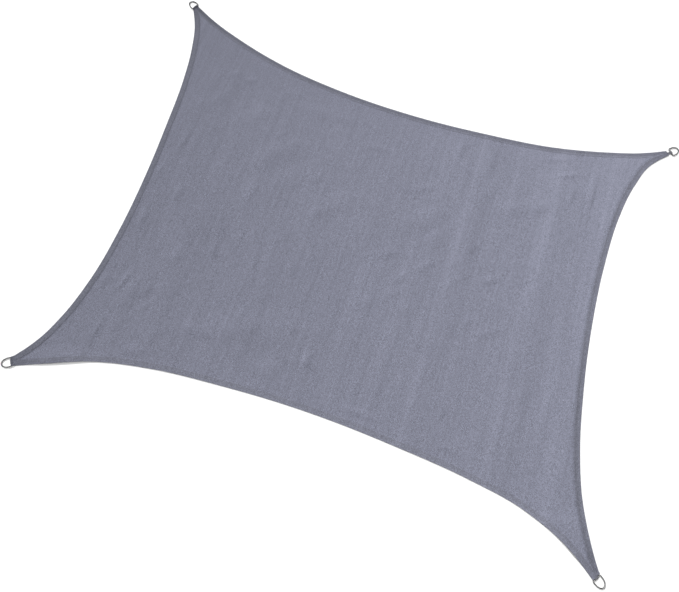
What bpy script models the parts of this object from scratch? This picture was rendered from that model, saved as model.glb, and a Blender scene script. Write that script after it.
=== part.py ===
"""Rectangular shade sail with hollow edges and a steel D-ring at each corner.

The sail lies spread out on the ground, cloth face up. Metres, +Z up, +X along the long side.
The origin is on the ground, in the middle of the footprint.
"""

import math

import bmesh
import bpy
from mathutils import Vector

# Sail, from corner point to corner point. A corner point is where the webbing folds round its ring.
SAIL_LENGTH = 3.96
SAIL_WIDTH = 3.05

# Corners: side of the sail on X and on Y, the way the cloth points in degrees from +X, the width
# of the cloth where it is cut off, how far the strap and its ring are turned from the cloth's
# heading as they lie, in degrees, how far the strap reaches out past the corner point, how wide
# its webbing lies, and how far back from its end the cloth is cut off, square to the strap.
CORNERS = {
    "front_left": {
        "x": -1,
        "y": -1,
        "heading": 218.0,
        "end_width": 0.060,
        "turn": -6.0,
        "reach": 0.007,
        "webbing": 0.030,
        "cut_back": 0.0096,
    },
    "front_right": {
        "x": 1,
        "y": -1,
        "heading": 315.0,
        "end_width": 0.056,
        "turn": 11.0,
        "reach": 0.009,
        "webbing": 0.030,
        "cut_back": 0.0150,
    },
    # pinched narrow, with more of it showing
    "back_right": {
        "x": 1,
        "y": 1,
        "heading": 38.0,
        "end_width": 0.032,
        "turn": 6.0,
        "reach": -0.011,
        "webbing": 0.018,
        "cut_back": 0.0330,
    },
    "back_left": {
        "x": -1,
        "y": 1,
        "heading": 136.0,
        "end_width": 0.046,
        "turn": 16.0,
        "reach": 0.009,
        "webbing": 0.030,
        "cut_back": 0.0096,
    },
}

# Edges: how far each one curves in from its straight chord, at these shares of the chord.
SHARES = (0.0, 0.05, 0.12, 0.22, 0.35, 0.50, 0.65, 0.78, 0.88, 0.95, 1.0)
EDGES = {
    "front": {
        "start": "front_left",
        "end": "front_right",
        "hollow": (0.0, 0.083, 0.192, 0.279, 0.331, 0.358, 0.342, 0.304, 0.238, 0.131, 0.0),
    },
    "back": {
        "start": "back_left",
        "end": "back_right",
        "hollow": (0.0, 0.097, 0.196, 0.299, 0.366, 0.384, 0.348, 0.285, 0.189, 0.097, 0.0),
    },
    "left": {
        "start": "front_left",
        "end": "back_left",
        "hollow": (0.0, 0.103, 0.188, 0.253, 0.281, 0.275, 0.244, 0.205, 0.148, 0.081, 0.0),
    },
    "right": {
        "start": "front_right",
        "end": "back_right",
        "hollow": (0.0, 0.085, 0.178, 0.257, 0.311, 0.342, 0.340, 0.307, 0.238, 0.146, 0.0),
    },
}

# Cloth: one layer in the middle, turned over and doubled along the hem.
PANEL_THICKNESS = 0.0015
HEM_THICKNESS = 0.0030
HEM_WIDTH = 0.040
HEM_STEP_SHARE = 0.9  # share of the hem's width that is full thickness, before the step down
CORNER_TIP = 0.110  # from the corner point out to where the edges would meet if they ran on

# Low folds of the laid-out cloth, lifted off the ground. A fold is an oval swelling: its middle,
# its heading in degrees from +X, half its length, half its width and its height.
FOLD_COLUMNS = ("x", "y", "heading", "half_length", "half_width", "height")
FOLDS = (
    (-0.87, 0.49, 42.0, 0.34, 0.13, 0.008),
    (-0.70, 0.33, 45.0, 0.26, 0.12, 0.005),
    (-0.33, 0.24, 38.0, 0.28, 0.13, 0.007),
    (0.31, 0.34, 40.0, 0.30, 0.11, 0.007),
    (0.47, 0.25, 45.0, 0.20, 0.10, 0.004),
    (-0.55, -0.79, 21.0, 0.60, 0.15, 0.008),
    (-0.80, -0.25, 100.0, 0.34, 0.12, 0.005),
    (-1.42, -0.80, 63.0, 0.26, 0.12, 0.007),
    (0.37, -0.68, 90.0, 0.46, 0.09, 0.004),
    (1.23, 0.44, 89.0, 0.72, 0.10, 0.006),
    (1.50, -0.42, 98.0, 0.60, 0.12, 0.006),
    (1.76, -1.30, 328.0, 0.17, 0.10, 0.012),
    (-1.66, -1.38, 22.0, 0.24, 0.09, 0.008),
)

# Webbing strap folded round the ring's bar. Both its legs lie on each other under the cloth.
WEBBING_THICKNESS = 0.0015
LEG_LENGTH = 0.085  # from the strap's end back to the legs' cut ends
FOLD_SLOPE = 0.022  # run in which the upper leg comes down from the bar to the lower one
FOLD_STEPS = 12
SLOPE_STEPS = 6

# D-ring of round steel wire: a straight bar, two short sides and a half-oval bow.
WIRE_RADIUS = 0.004
RING_INNER_WIDTH = 0.052
RING_OUTER_LENGTH = 0.074
RING_CORNER_RADIUS = 0.007
RING_SIDE = 0.013
BOW_STEPS = 18
RING_CORNER_STEPS = 4

# Small gap between pieces that touch on the real sail
PIECE_GAP = 0.0003
BAR_CLEARANCE = 0.0004

# Mesh of the cloth: cells along each side of the middle panel
LONG_CELLS = 38
SHORT_CELLS = 29
HEM_ROWS = (0.0, HEM_STEP_SHARE)  # rows of the hem, as shares of its width from the edge

# Worked out from the sizes above
FOLD_RADIUS = WIRE_RADIUS + BAR_CLEARANCE + WEBBING_THICKNESS  # outside of the fold round the bar
BAR_HEIGHT = FOLD_RADIUS
UPPER_LEG = 1.5 * WEBBING_THICKNESS + PIECE_GAP  # height of the upper leg's middle
CORNER_LIFT = 2 * (WEBBING_THICKNESS + PIECE_GAP)  # the cloth's height over both legs
LIFT_LEVEL_TO = LEG_LENGTH + 0.010
LIFT_GONE_AT = 0.190


# ---- outline ------------------------------------------------------------------------------------


def corner_point(corner):
    side = CORNERS[corner]
    return Vector((side["x"] * SAIL_LENGTH / 2, side["y"] * SAIL_WIDTH / 2))


def corner_heading(corner):
    angle = math.radians(CORNERS[corner]["heading"])
    return Vector((math.cos(angle), math.sin(angle)))


def strap_angle(corner):
    return math.radians(CORNERS[corner]["heading"] + CORNERS[corner]["turn"])


def strap_direction(corner):
    return Vector((math.cos(strap_angle(corner)), math.sin(strap_angle(corner))))


def strap_end_point(corner):
    """Outermost point of a corner's strap, where it folds round the ring's bar."""
    return corner_point(corner) + corner_heading(corner) * CORNERS[corner]["reach"]


def cut_end_point(corner, other):
    """End of the cloth's width at a corner, on the side that faces another corner."""
    across = corner_heading(corner).orthogonal()
    if across.dot(corner_point(other) - corner_point(corner)) < 0:
        across.negate()
    return corner_point(corner) + across * CORNERS[corner]["end_width"] / 2


def slope_at(values, index):
    """Slope of a smooth curve through the values at SHARES, at one of them."""
    last = len(SHARES) - 1
    if index == 0 or index == last:
        near = 1 if index == 0 else last - 1
        chord = (values[near] - values[index]) / (SHARES[near] - SHARES[index])
        return 2 * chord - slope_at(values, near)
    before = SHARES[index] - SHARES[index - 1]
    after = SHARES[index + 1] - SHARES[index]
    rise_before = (values[index] - values[index - 1]) / before
    rise_after = (values[index + 1] - values[index]) / after
    return (rise_before * after + rise_after * before) / (before + after)


def hollow_at(edge, share):
    """Depth of an edge's hollow at a share of its chord, on a smooth cubic curve."""
    values = EDGES[edge]["hollow"]
    index = max(i for i in range(len(SHARES) - 1) if SHARES[i] <= share or i == 0)
    span = SHARES[index + 1] - SHARES[index]
    t = (share - SHARES[index]) / span
    start_pull = (t**3 - 2 * t**2 + t) * span * slope_at(values, index)
    end_pull = (t**3 - t**2) * span * slope_at(values, index + 1)
    rise = (3 * t**2 - 2 * t**3) * (values[index + 1] - values[index])
    return values[index] + rise + start_pull + end_pull


def edge_point(edge, share, inset=0.0):
    """Point on an edge's curve, or on the line that runs inset metres inside it."""
    start, end = EDGES[edge]["start"], EDGES[edge]["end"]
    first = cut_end_point(start, end)
    chord = cut_end_point(end, start) - first
    inward = chord.orthogonal().normalized()
    if inward.dot(first) > 0:
        inward.negate()
    point = first + chord * share + inward * hollow_at(edge, share)
    if inset:
        step = 0.001
        run = edge_point(edge, min(share + step, 1.0)) - edge_point(edge, max(share - step, 0.0))
        normal = run.orthogonal().normalized()
        if normal.dot(inward) < 0:
            normal.negate()
        point += normal * inset
    return point


def distance_to_edge(point, edge):
    samples = 400
    return min((edge_point(edge, i / samples) - point).length for i in range(samples + 1))


def hem_meeting_share(edge, neighbour, from_start):
    """Share of the chord at which the hem's inner line meets the neighbouring edge's one."""
    near, far = (0.0, 0.3) if from_start else (1.0, 0.7)
    for _ in range(18):
        middle = (near + far) / 2
        if distance_to_edge(edge_point(edge, middle, HEM_WIDTH), neighbour) < HEM_WIDTH:
            near = middle
        else:
            far = middle
    return far


def hem_line_ranges():
    """For each edge, the shares between which the hem's inner line runs."""
    ranges = {}
    for edge in EDGES:
        neighbours = ("left", "right") if edge in ("front", "back") else ("front", "back")
        ranges[edge] = (
            hem_meeting_share(edge, neighbours[0], True),
            hem_meeting_share(edge, neighbours[1], False),
        )
    return ranges


def outer_line_point(edge, share):
    """Point on an edge's outer line, which runs on past each cut end to the corner's tip."""
    start, end = EDGES[edge]["start"], EDGES[edge]["end"]
    run_on = CORNER_TIP / (corner_point(end) - corner_point(start)).length
    along = share * (1 + 2 * run_on) - run_on
    if 0.0 <= along <= 1.0:
        return edge_point(edge, along)
    corner, other, past = (start, end, -along) if along < 0.0 else (end, start, along - 1)
    tip = corner_point(corner) + corner_heading(corner) * CORNER_TIP
    return cut_end_point(corner, other).lerp(tip, past / run_on)


# ---- cloth --------------------------------------------------------------------------------------


def hem_line_point(edge, share, ranges):
    first, last = ranges[edge]
    return edge_point(edge, first + (last - first) * share, HEM_WIDTH)


def panel_point(u, v, ranges):
    """Point of the middle panel, blended between the four inner lines of the hem."""
    front, back = hem_line_point("front", u, ranges), hem_line_point("back", u, ranges)
    left, right = hem_line_point("left", v, ranges), hem_line_point("right", v, ranges)
    front_ends = hem_line_point("front", 0.0, ranges).lerp(hem_line_point("front", 1.0, ranges), u)
    back_ends = hem_line_point("back", 0.0, ranges).lerp(hem_line_point("back", 1.0, ranges), u)
    return front.lerp(back, v) + left.lerp(right, u) - front_ends.lerp(back_ends, v)


def sheet_point(column, row, columns, rows, ranges):
    """Plan position and thickness of one grid point of the cloth."""
    ring = min(column, columns - column, row, rows - row)
    depth = len(HEM_ROWS)
    if ring >= depth:
        u = (column - depth) / (columns - 2 * depth)
        v = (row - depth) / (rows - 2 * depth)
        return panel_point(u, v, ranges), PANEL_THICKNESS
    u = (column - ring) / (columns - 2 * ring)
    v = (row - ring) / (rows - 2 * ring)
    if row == ring or row == rows - ring:
        edge, share = ("front" if row == ring else "back"), u
    else:
        edge, share = ("left" if column == ring else "right"), v
    outer, inner = outer_line_point(edge, share), hem_line_point(edge, share, ranges)
    return outer.lerp(inner, HEM_ROWS[ring]), HEM_THICKNESS


def inward_distance(point, corner):
    """How far a point lies behind the end of a corner's strap, along the strap."""
    return (strap_end_point(corner) - point).dot(strap_direction(corner))


def slope_height(share):
    """Height of the upper leg's middle on its slope, from the bar's top at 0 to its level at 1."""
    top = BAR_HEIGHT + FOLD_RADIUS - WEBBING_THICKNESS / 2
    return top + (UPPER_LEG - top) * share**2 * (3 - 2 * share)


def lift_steps():
    """Rise of the cloth over a strap: (distance behind the strap's end, height), from the bar in."""
    steps = []
    for step in range(SLOPE_STEPS + 1):
        share = step / SLOPE_STEPS
        height = slope_height(share) + WEBBING_THICKNESS / 2 + PIECE_GAP
        steps.append((FOLD_RADIUS + FOLD_SLOPE * share, height))
    return steps + [(LIFT_LEVEL_TO, CORNER_LIFT), (LIFT_GONE_AT, 0.0)]


def lift_at(inward):
    steps = lift_steps()
    for (near, near_height), (far, far_height) in zip(steps, steps[1:]):
        if inward < far:
            share = max(inward - near, 0.0) / (far - near)
            return near_height + (far_height - near_height) * share
    return 0.0


def ground_clearance(point):
    """Height of the cloth's underside: the folds, and the lift over the corner webbing."""
    height = 0.0
    for row in FOLDS:
        fold = dict(zip(FOLD_COLUMNS, row))
        offset = point - Vector((fold["x"], fold["y"]))
        angle = math.radians(fold["heading"])
        along = (offset.x * math.cos(angle) + offset.y * math.sin(angle)) / fold["half_length"]
        across = (offset.y * math.cos(angle) - offset.x * math.sin(angle)) / fold["half_width"]
        reach = min(math.hypot(along, across), 1.0)
        height += fold["height"] * math.cos(reach * math.pi / 2) ** 2
    for corner in CORNERS:
        height += lift_at(inward_distance(point, corner))
    return height


def cut_across_corners(bm):
    """Cut the cloth's tips off, and add the lines between which it rises over the webbing."""
    for corner, sizes in CORNERS.items():
        direction = strap_direction(corner).to_3d()
        cut_back = sizes["cut_back"]
        lines = [distance for distance, _ in lift_steps() if distance > cut_back + 0.001]
        for distance in lines[::-1] + [cut_back]:
            bmesh.ops.bisect_plane(
                bm,
                geom=bm.verts[:] + bm.edges[:] + bm.faces[:],
                dist=1e-6,
                plane_co=strap_end_point(corner).to_3d() - direction * distance,
                plane_no=direction,
                clear_outer=distance == cut_back,
            )


def build_cloth():
    ranges = hem_line_ranges()
    columns = LONG_CELLS + 2 * len(HEM_ROWS)
    rows = SHORT_CELLS + 2 * len(HEM_ROWS)
    bm = bmesh.new()
    bmesh.ops.create_grid(bm, x_segments=columns, y_segments=rows, size=0.5)
    for vert in bm.verts:
        column, row = round((vert.co.x + 0.5) * columns), round((vert.co.y + 0.5) * rows)
        point, thickness = sheet_point(column, row, columns, rows, ranges)
        vert.co = (point.x, point.y, thickness)
    cut_across_corners(bm)
    underside = bmesh.ops.extrude_face_region(bm, geom=bm.faces[:])["geom"]
    for item in underside:
        if isinstance(item, bmesh.types.BMVert):
            item.co.z = 0.0
    for vert in bm.verts:
        vert.co.z += ground_clearance(vert.co.to_2d())
    bmesh.ops.recalc_face_normals(bm, faces=bm.faces[:])
    return mesh_object("sail_cloth", bm)


# ---- corner webbing -----------------------------------------------------------------------------


def strap_centre_line():
    """Side view of the strap's middle: lower leg, fold round the bar, upper leg. (outward, up)."""
    radius = FOLD_RADIUS - WEBBING_THICKNESS / 2
    bar = -FOLD_RADIUS
    points = [(-LEG_LENGTH, WEBBING_THICKNESS / 2)]
    for step in range(FOLD_STEPS + 1):
        angle = math.pi * (step / FOLD_STEPS - 0.5)
        points.append((bar + radius * math.cos(angle), BAR_HEIGHT + radius * math.sin(angle)))
    for step in range(1, SLOPE_STEPS + 1):
        share = step / SLOPE_STEPS
        points.append((bar - FOLD_SLOPE * share, slope_height(share)))
    points.append((-LEG_LENGTH, UPPER_LEG))
    return [Vector(point) for point in points]


def thickened_outline(line, thickness):
    """Closed outline of a strip of even thickness along a side-view line."""
    left, right = [], []
    for index, point in enumerate(line):
        before = line[max(index - 1, 0)]
        after = line[min(index + 1, len(line) - 1)]
        normal = (after - before).orthogonal().normalized() * thickness / 2
        left.append(point + normal)
        right.append(point - normal)
    return left + right[::-1]


def build_corner_strap(corner):
    width = CORNERS[corner]["webbing"]
    bm = bmesh.new()
    outline = thickened_outline(strap_centre_line(), WEBBING_THICKNESS)
    section = bm.faces.new([bm.verts.new((p.x, -width / 2, p.y)) for p in outline])
    swept = bmesh.ops.extrude_face_region(bm, geom=[section])["geom"]
    far_side = [item for item in swept if isinstance(item, bmesh.types.BMVert)]
    bmesh.ops.translate(bm, verts=far_side, vec=(0.0, width, 0.0))
    bmesh.ops.recalc_face_normals(bm, faces=bm.faces[:])
    strap = mesh_object("corner_strap_" + corner, bm)
    strap.location = strap_end_point(corner).to_3d()
    strap.rotation_euler = (0.0, 0.0, strap_angle(corner))
    return strap


# ---- rings --------------------------------------------------------------------------------------


def half_ring_path():
    """One half of the wire's centre line, from the bar's middle to the bow's end. (out, across)."""
    half_width = RING_INNER_WIDTH / 2 + WIRE_RADIUS
    length = RING_OUTER_LENGTH - 2 * WIRE_RADIUS
    bar_end = half_width - RING_CORNER_RADIUS
    points = [(0.0, 0.0)]
    for step in range(RING_CORNER_STEPS + 1):
        angle = math.pi / 2 * step / RING_CORNER_STEPS
        out = RING_CORNER_RADIUS * (1 - math.cos(angle))
        points.append((out, bar_end + RING_CORNER_RADIUS * math.sin(angle)))
    bow_start = RING_CORNER_RADIUS + RING_SIDE
    for step in range(BOW_STEPS // 2 + 1):
        angle = math.pi / 2 * step / (BOW_STEPS // 2)
        out = bow_start + (length - bow_start) * math.sin(angle)
        points.append((out, half_width * math.cos(angle)))
    return points


def build_ring(corner):
    half = half_ring_path()
    path = half + [(out, -across) for out, across in half[-2:0:-1]]
    curve = bpy.data.curves.new("corner_ring_" + corner, "CURVE")
    curve.dimensions = "3D"
    curve.bevel_depth = WIRE_RADIUS
    curve.bevel_resolution = 2
    spline = curve.splines.new("POLY")
    spline.points.add(len(path) - 1)
    spline.use_cyclic_u = True
    for point, (out, across) in zip(spline.points, path):
        point.co = (out, across, 0.0, 1.0)
    ring = bpy.data.objects.new("corner_ring_" + corner, curve)
    angle = strap_angle(corner)
    bar = strap_end_point(corner) - strap_direction(corner) * FOLD_RADIUS
    ring.location = (bar.x, bar.y, BAR_HEIGHT)
    # the bow leans down from the bar until it lies on the ground
    lean = math.asin((BAR_HEIGHT - WIRE_RADIUS) / (RING_OUTER_LENGTH - 2 * WIRE_RADIUS))
    ring.rotation_euler = (0.0, lean, angle)
    return ring


# ---- scene --------------------------------------------------------------------------------------


def mesh_object(name, bm):
    mesh = bpy.data.meshes.new(name)
    bm.to_mesh(mesh)
    bm.free()
    return bpy.data.objects.new(name, mesh)


def material(name, color, roughness, metallic):
    made = bpy.data.materials.new(name)
    made.use_nodes = True
    shader = made.node_tree.nodes["Principled BSDF"]
    shader.inputs["Base Color"].default_value = (*color, 1.0)
    shader.inputs["Roughness"].default_value = roughness
    shader.inputs["Metallic"].default_value = metallic
    return made


def place(obj, look, parent):
    bpy.context.scene.collection.objects.link(obj)
    obj.data.materials.append(look)
    obj.parent = parent


def main():
    for obj in list(bpy.data.objects):
        bpy.data.objects.remove(obj)
    cloth_look = material("shade_cloth", (0.23, 0.24, 0.30), 0.85, 0.0)
    webbing_look = material("webbing", (0.13, 0.13, 0.15), 0.8, 0.0)
    steel_look = material("ring_steel", (0.62, 0.62, 0.60), 0.25, 1.0)

    sail = bpy.data.objects.new("shade_sail", None)
    bpy.context.scene.collection.objects.link(sail)
    place(build_cloth(), cloth_look, sail)
    for corner in CORNERS:
        place(build_corner_strap(corner), webbing_look, sail)
        place(build_ring(corner), steel_look, sail)


main()
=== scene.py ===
"""Knitted shade sail with hollow, hemmed edges and a steel D-ring on webbing at each corner.

The sail lies spread out on the ground, cloth face up. Metres, +Z up, +X along the long side.
The file is laid out as an add-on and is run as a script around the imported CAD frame.
"""

import math

import bmesh
import bpy
import numpy as np
from bpy.props import FloatProperty, FloatVectorProperty, IntProperty, PointerProperty
from mathutils import Matrix, Vector
from mathutils.kdtree import KDTree


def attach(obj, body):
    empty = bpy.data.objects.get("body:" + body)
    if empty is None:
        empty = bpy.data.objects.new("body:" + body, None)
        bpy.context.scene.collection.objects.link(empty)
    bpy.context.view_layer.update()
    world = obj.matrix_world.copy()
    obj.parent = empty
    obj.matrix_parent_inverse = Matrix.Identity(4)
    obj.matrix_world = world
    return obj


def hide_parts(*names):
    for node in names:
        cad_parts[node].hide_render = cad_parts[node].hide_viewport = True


bl_info = {
    "name": "Knitted Shade Sail",
    "version": (1, 0, 0),
    "blender": (4, 5, 0),
    "location": "3D View > Sidebar > Shade Sail",
    "description": "Builds the cloth, hem stitching, corner webbing and D-rings of a shade sail",
    "category": "Mesh",
}

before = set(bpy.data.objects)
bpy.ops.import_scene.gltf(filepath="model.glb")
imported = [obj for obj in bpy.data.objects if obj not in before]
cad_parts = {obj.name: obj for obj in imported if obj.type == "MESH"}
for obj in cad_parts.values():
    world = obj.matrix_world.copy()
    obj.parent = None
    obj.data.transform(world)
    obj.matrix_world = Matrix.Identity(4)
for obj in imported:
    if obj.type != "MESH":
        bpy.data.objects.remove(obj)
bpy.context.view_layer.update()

# ---- outline, as in the part ----

SAIL_LENGTH = 3.96
SAIL_WIDTH = 3.05
# Each corner: its side on X and Y, the heading out of the sail in degrees, the width of the cloth's
# cut end, the strap's turn away from the heading, how far its end reaches past the corner point, the
# webbing's width, and how far behind the strap's end the cloth is cut.
CORNER_COLUMNS = ("x", "y", "heading", "end_width", "turn", "reach", "webbing", "cut_back")
CORNERS = {
    "front_left": (-1, -1, 218.0, 0.060, -6.0, 0.007, 0.030, 0.0096),
    "front_right": (1, -1, 315.0, 0.056, 11.0, 0.009, 0.030, 0.0150),
    "back_right": (1, 1, 38.0, 0.032, 6.0, -0.011, 0.018, 0.0330),
    "back_left": (-1, 1, 136.0, 0.046, 16.0, 0.009, 0.030, 0.0096),
}
CORNERS = {name: dict(zip(CORNER_COLUMNS, row)) for name, row in CORNERS.items()}
# Depth of each edge's hollow in metres, at these shares of the straight line between its ends.
SHARES = np.array((0.0, 0.05, 0.12, 0.22, 0.35, 0.50, 0.65, 0.78, 0.88, 0.95, 1.0))
HOLLOWS = {
    "front": (0.0, 0.083, 0.192, 0.279, 0.331, 0.358, 0.342, 0.304, 0.238, 0.131, 0.0),
    "back": (0.0, 0.097, 0.196, 0.299, 0.366, 0.384, 0.348, 0.285, 0.189, 0.097, 0.0),
    "left": (0.0, 0.103, 0.188, 0.253, 0.281, 0.275, 0.244, 0.205, 0.148, 0.081, 0.0),
    "right": (0.0, 0.085, 0.178, 0.257, 0.311, 0.342, 0.340, 0.307, 0.238, 0.146, 0.0),
}
EDGE_ENDS = {
    "front": ("front_left", "front_right"),
    "back": ("back_left", "back_right"),
    "left": ("front_left", "back_left"),
    "right": ("front_right", "back_right"),
}
CORNER_TIP = 0.110  # how far past the corner point an edge's line runs on, to meet its neighbour
HEM_WIDTH = 0.040
WEBBING_THICKNESS = 0.0015
LEG_LENGTH = 0.085
FOLD_SLOPE = 0.022  # run over which a strap's upper leg comes down behind the bar
SLOPE_STEPS = 6
WIRE_RADIUS = 0.004
RING_INNER_WIDTH = 0.052
RING_OUTER_LENGTH = 0.074
RING_CORNER_RADIUS = 0.007
RING_SIDE = 0.013
PIECE_GAP = 0.0003
BAR_CLEARANCE = 0.0004
FOLD_RADIUS = WIRE_RADIUS + BAR_CLEARANCE + WEBBING_THICKNESS
UPPER_LEG = 1.5 * WEBBING_THICKNESS + PIECE_GAP  # height of the upper leg's middle line
CORNER_LIFT = 2 * (WEBBING_THICKNESS + PIECE_GAP)
LIFT_LEVEL_TO = LEG_LENGTH + 0.010
LIFT_GONE_AT = 0.190

# The cloth sinks back beside a strap: by this share of its rise over it, from and over these
# distances outside the webbing, and from and over these distances behind the strap's end.
DRAPE = 0.6
DRAPE_BESIDE = (0.002, 0.012)
DRAPE_BEHIND = (0.014, 0.010)

# ---- folds and creases ----

# Low folds of the laid-out cloth, as in the part: x, y, heading, half length, half width, height.
FOLDS = (
    (-0.87, 0.49, 42.0, 0.34, 0.13, 0.008),
    (-0.70, 0.33, 45.0, 0.26, 0.12, 0.005),
    (-0.33, 0.24, 38.0, 0.28, 0.13, 0.007),
    (0.31, 0.34, 40.0, 0.30, 0.11, 0.007),
    (0.47, 0.25, 45.0, 0.20, 0.10, 0.004),
    (-0.55, -0.79, 21.0, 0.60, 0.15, 0.008),
    (-0.80, -0.25, 100.0, 0.34, 0.12, 0.005),
    (-1.42, -0.80, 63.0, 0.26, 0.12, 0.007),
    (0.37, -0.68, 90.0, 0.46, 0.09, 0.004),
    (1.23, 0.44, 89.0, 0.72, 0.10, 0.006),
    (1.50, -0.42, 98.0, 0.60, 0.12, 0.006),
    (1.76, -1.30, 328.0, 0.17, 0.10, 0.012),
    (-1.66, -1.38, 22.0, 0.24, 0.09, 0.008),
)

# Softer creases between them, with the same values. A seventh value is a bend: how far the crease's
# ends swing to its left, in metres.
CREASES = (
    # back left quarter
    (-0.86, 0.52, 44, 0.22, 0.055, 0.0010, 0.02),
    (-0.68, 0.42, 48, 0.16, 0.050, 0.0010),
    (-0.515, 0.42, 66, 0.09, 0.030, 0.0062),
    (-1.29, 1.03, 40, 0.060, 0.046, 0.0070),
    (-1.42, 1.05, 30, 0.05, 0.040, 0.0050),
    (-0.62, 0.945, 2, 0.56, 0.060, 0.0032, 0.02),
    (-0.96, 1.00, 10, 0.16, 0.080, 0.0030),
    (-0.15, 0.80, 3, 0.22, 0.045, 0.0038),
    (-1.48, 0.78, 60, 0.13, 0.070, 0.0050),
    (-1.14, 0.74, 50, 0.18, 0.110, 0.0060, 0.01),
    (-1.38, 0.56, 48, 0.14, 0.060, 0.0030),
    (-1.57, 0.38, 88, 0.16, 0.034, 0.0056),
    (-1.63, 0.10, 84, 0.18, 0.040, 0.0066),
    (-0.95, 0.11, 84, 0.13, 0.050, 0.0064),
    (-0.33, 0.31, 40, 0.12, 0.040, 0.0010, -0.01),
    (-0.41, 0.16, 50, 0.15, 0.050, 0.0030),
    (-0.31, 0.88, 84, 0.12, 0.026, 0.0036),
    # front left quarter
    (-1.60, -0.30, 100, 0.12, 0.040, 0.0100),
    (-1.44, -0.04, 98, 0.11, 0.040, 0.0090),
    (-1.06, -0.14, 98, 0.19, 0.036, 0.0080, 0.01),
    (-1.02, -0.36, 106, 0.10, 0.036, 0.0080),
    (-0.885, -0.20, 96, 0.18, 0.036, 0.0074),
    (-0.70, -0.42, 102, 0.18, 0.036, 0.0088, 0.01),
    (-0.345, -0.20, 100, 0.18, 0.036, 0.0096, 0.01),
    (-0.46, -0.30, 100, 0.17, 0.034, 0.0066),
    (-1.25, -0.47, 70, 0.14, 0.080, 0.0056),
    (-0.655, -0.70, 76, 0.10, 0.034, 0.0070),
    (-0.42, -0.85, 26, 0.46, 0.070, 0.0020, -0.03),
    (-0.90, -0.93, 3, 0.18, 0.050, 0.0040),
    (-0.34, -1.00, 60, 0.10, 0.090, 0.0052),
    (-0.13, -0.88, 84, 0.09, 0.042, 0.0090),
    (-1.345, -0.785, 64, 0.10, 0.034, 0.0056),
    (-1.315, -0.90, 58, 0.09, 0.034, 0.0050),
    (-1.515, -0.76, 72, 0.20, 0.034, 0.0084, 0.01),
    (-1.545, -1.13, 82, 0.18, 0.028, 0.0080),
    (-1.14, -1.03, 66, 0.13, 0.050, 0.0036),
    (-1.26, -1.20, 22, 0.13, 0.050, 0.0060),
    (-1.65, -0.82, 74, 0.12, 0.034, 0.0050),
    # back right quarter
    (0.30, 0.36, 41, 0.24, 0.050, 0.0004, 0.02),
    (0.24, 0.585, 27, 0.20, 0.050, 0.0044),
    (0.44, 0.265, 48, 0.15, 0.040, 0.0016, 0.01),
    (0.16, 0.03, 30, 0.13, 0.060, 0.0058),
    (0.44, 0.02, 50, 0.10, 0.045, 0.0060),
    (0.90, 0.07, 40, 0.07, 0.045, 0.0084),
    (0.73, 0.27, 50, 0.12, 0.040, 0.0050),
    (0.935, 0.445, 66, 0.08, 0.028, 0.0052),
    (1.00, 0.69, 27, 0.32, 0.100, 0.0058, 0.01),
    (1.12, 0.72, 40, 0.10, 0.050, 0.0036),
    (0.440, 1.00, 88, 0.16, 0.034, 0.0080),
    (0.68, 0.96, 88, 0.18, 0.034, 0.0064),
    (0.745, 0.74, 90, 0.16, 0.036, 0.0072),
    (0.53, 0.86, -5, 0.14, 0.040, 0.0034),
    (0.22, 0.78, 4, 0.10, 0.034, 0.0028),
    (1.455, 0.96, 88, 0.24, 0.034, 0.0100),
    (1.32, 0.92, 88, 0.13, 0.034, 0.0076),
    (1.26, 1.06, 24, 0.12, 0.034, 0.0060),
    (1.12, 1.15, 20, 0.20, 0.034, 0.0040),
    (1.36, 0.56, 62, 0.09, 0.040, 0.0034),
    # front right quarter
    (0.12, -0.36, 10, 0.09, 0.060, 0.0056),
    (0.28, -0.25, 42, 0.13, 0.034, 0.0038),
    (0.98, -0.29, 42, 0.13, 0.050, 0.0052),
    (0.82, -0.28, 70, 0.11, 0.032, 0.0058),
    (0.30, -0.12, 60, 0.14, 0.050, 0.0056),
    (0.62, -0.06, 50, 0.12, 0.045, 0.0032),
    (0.33, -1.085, 0, 0.18, 0.032, 0.0056),
    (0.92, -1.105, -4, 0.09, 0.034, 0.0060),
    (1.28, -0.62, 60, 0.10, 0.040, 0.0032),
    (1.50, -0.48, 100, 0.12, 0.034, 0.0030),
    (1.44, -1.02, 74, 0.12, 0.040, 0.0030),
    (0.40, -0.31, 96, 0.08, 0.030, 0.0060),
    (1.49, -0.62, 84, 0.16, 0.030, 0.0046),
)

# How high the hem's edge stands off the ground, in millimetres, at shares of each edge.
CURL_SHARES = (0.0, 0.06, 0.12, 0.2, 0.3, 0.4, 0.5, 0.6, 0.7, 0.8, 0.88, 0.94, 1.0)
CURLS = {
    "front": (0.0, 6.2, 4.4, 1.8, 2.4, 1.2, 1.7, 1.2, 2.0, 1.5, 4.0, 12.0, 0.0),
    "back": (0.0, 1.6, 2.2, 1.2, 1.8, 1.0, 1.6, 1.4, 0.9, 1.7, 1.2, 1.5, 0.0),
    "left": (0.0, 1.4, 1.0, 1.8, 1.2, 2.0, 1.3, 1.8, 1.1, 1.6, 1.9, 1.2, 0.0),
    "right": (0.0, 2.2, 2.6, 1.6, 2.4, 1.5, 1.9, 1.2, 1.8, 1.3, 1.6, 1.1, 0.0),
}
CURL_WIDTH = 0.085

# Waviness of the whole cloth: wave number on X and Y, phase and height in millimetres.
WAVES = (
    (2.3, 1.1, 0.4, 0.50),
    (3.9, -2.6, 1.9, 0.38),
    (6.1, 4.7, 3.1, 0.26),
    (-7.7, 9.3, 0.8, 0.18),
    (12.9, 5.2, 2.2, 0.12),
    (9.4, -14.1, 4.4, 0.10),
)

# ---- hem ----

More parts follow.
